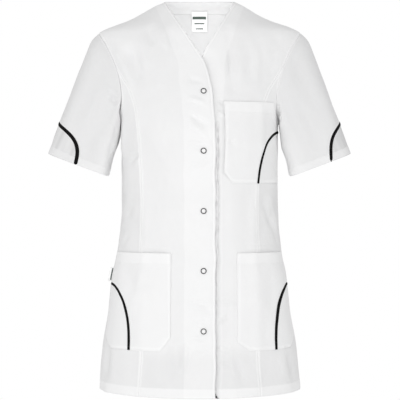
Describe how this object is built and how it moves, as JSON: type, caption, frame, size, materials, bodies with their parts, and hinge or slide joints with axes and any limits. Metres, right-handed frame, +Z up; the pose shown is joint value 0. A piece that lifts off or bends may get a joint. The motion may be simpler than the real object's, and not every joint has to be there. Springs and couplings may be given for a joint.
{
  "type": "medical tunic",
  "caption": "Short-sleeved V-neck work tunic with princess seams, a ring-snap front, patch pockets and dark piping, filled out as worn and hollow.",
  "frame": {"origin": "midway between the two high points of the shoulders, where the shoulder seams meet the neckline", "axes": "+Z up, +X to the wearer's left, the wearer faces -Y"},
  "size_m": [0.5857, 0.2906, 0.7685],
  "materials": {
    "white_cloth": "matt, tightly woven poly-cotton twill",
    "black_piping": "matt, with a slight sheen along its crown",
    "snap_metal": "polished",
    "label_cloth": "satin ribbon, plain"
  },
  "bodies": {
    "root": {"front_right": "white_cloth", "front_left": "white_cloth", "front_side_right": "white_cloth", "front_side_left": "white_cloth", "back": "white_cloth", "facing_right": "white_cloth", "facing_left": "white_cloth", "facing_back_neck": "white_cloth", "sleeve_right": "white_cloth", "sleeve_left": "white_cloth", "sleeve_insert_right": "white_cloth", "sleeve_insert_left": "white_cloth", "pocket_hip_right": "white_cloth", "pocket_hip_right_insert": "white_cloth", "pocket_hip_left": "white_cloth", "pocket_hip_left_insert": "white_cloth", "pocket_chest": "white_cloth", "pocket_chest_insert": "white_cloth", "sleeve_piping_right": "black_piping", "sleeve_piping_left": "black_piping", "pocket_hip_right_piping": "black_piping", "pocket_hip_left_piping": "black_piping", "pocket_chest_piping": "black_piping", "snap_ring_1": "snap_metal", "snap_socket_1": "snap_metal", "snap_ring_2": "snap_metal", "snap_socket_2": "snap_metal", "snap_ring_3": "snap_metal", "snap_socket_3": "snap_metal", "snap_ring_4": "snap_metal", "snap_socket_4": "snap_metal", "snap_ring_5": "snap_metal", "snap_socket_5": "snap_metal", "neck_label": "label_cloth", "side_label": "label_cloth"}
  },
  "joints": []
}
